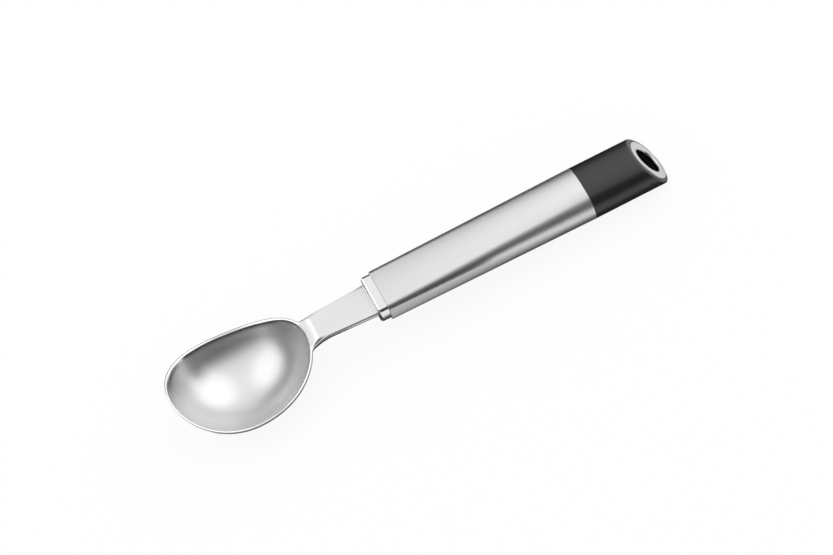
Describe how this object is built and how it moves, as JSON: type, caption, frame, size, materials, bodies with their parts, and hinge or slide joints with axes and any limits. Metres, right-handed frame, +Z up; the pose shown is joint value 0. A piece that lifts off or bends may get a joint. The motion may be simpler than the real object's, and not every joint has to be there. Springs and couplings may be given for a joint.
{
  "type": "ice cream scoop",
  "caption": "One-piece steel scoop with an egg-shaped bowl, dipped rim and flat neck, set in a flattened oval tube handle whose slanted plastic end cap has a ringed hanging hole.",
  "frame": {"origin": "on the table, under the middle of the scoop's length, when it lies bowl up on the bottom of its bowl and the heel of its end cap", "axes": "+X along the scoop from the bowl to the end cap, +Z up out of the bowl, +Y across the handle"},
  "size_m": [0.2199, 0.0486, 0.0243],
  "materials": {
    "head_steel": "satin brushed inside, polished along the rim",
    "collar_steel": "polished",
    "tube_steel": "brushed along the handle",
    "core_plastic": "as moulded",
    "pin_steel": "drawn",
    "cap_plastic": "satin black",
    "ring_steel": "satin"
  },
  "bodies": {
    "root": {"scoop_head": "head_steel", "front_collar": "collar_steel", "handle_tube": "tube_steel", "tang_core": "core_plastic", "tang_pin": "pin_steel", "end_cap": "cap_plastic", "hanging_ring": "ring_steel"}
  },
  "joints": []
}
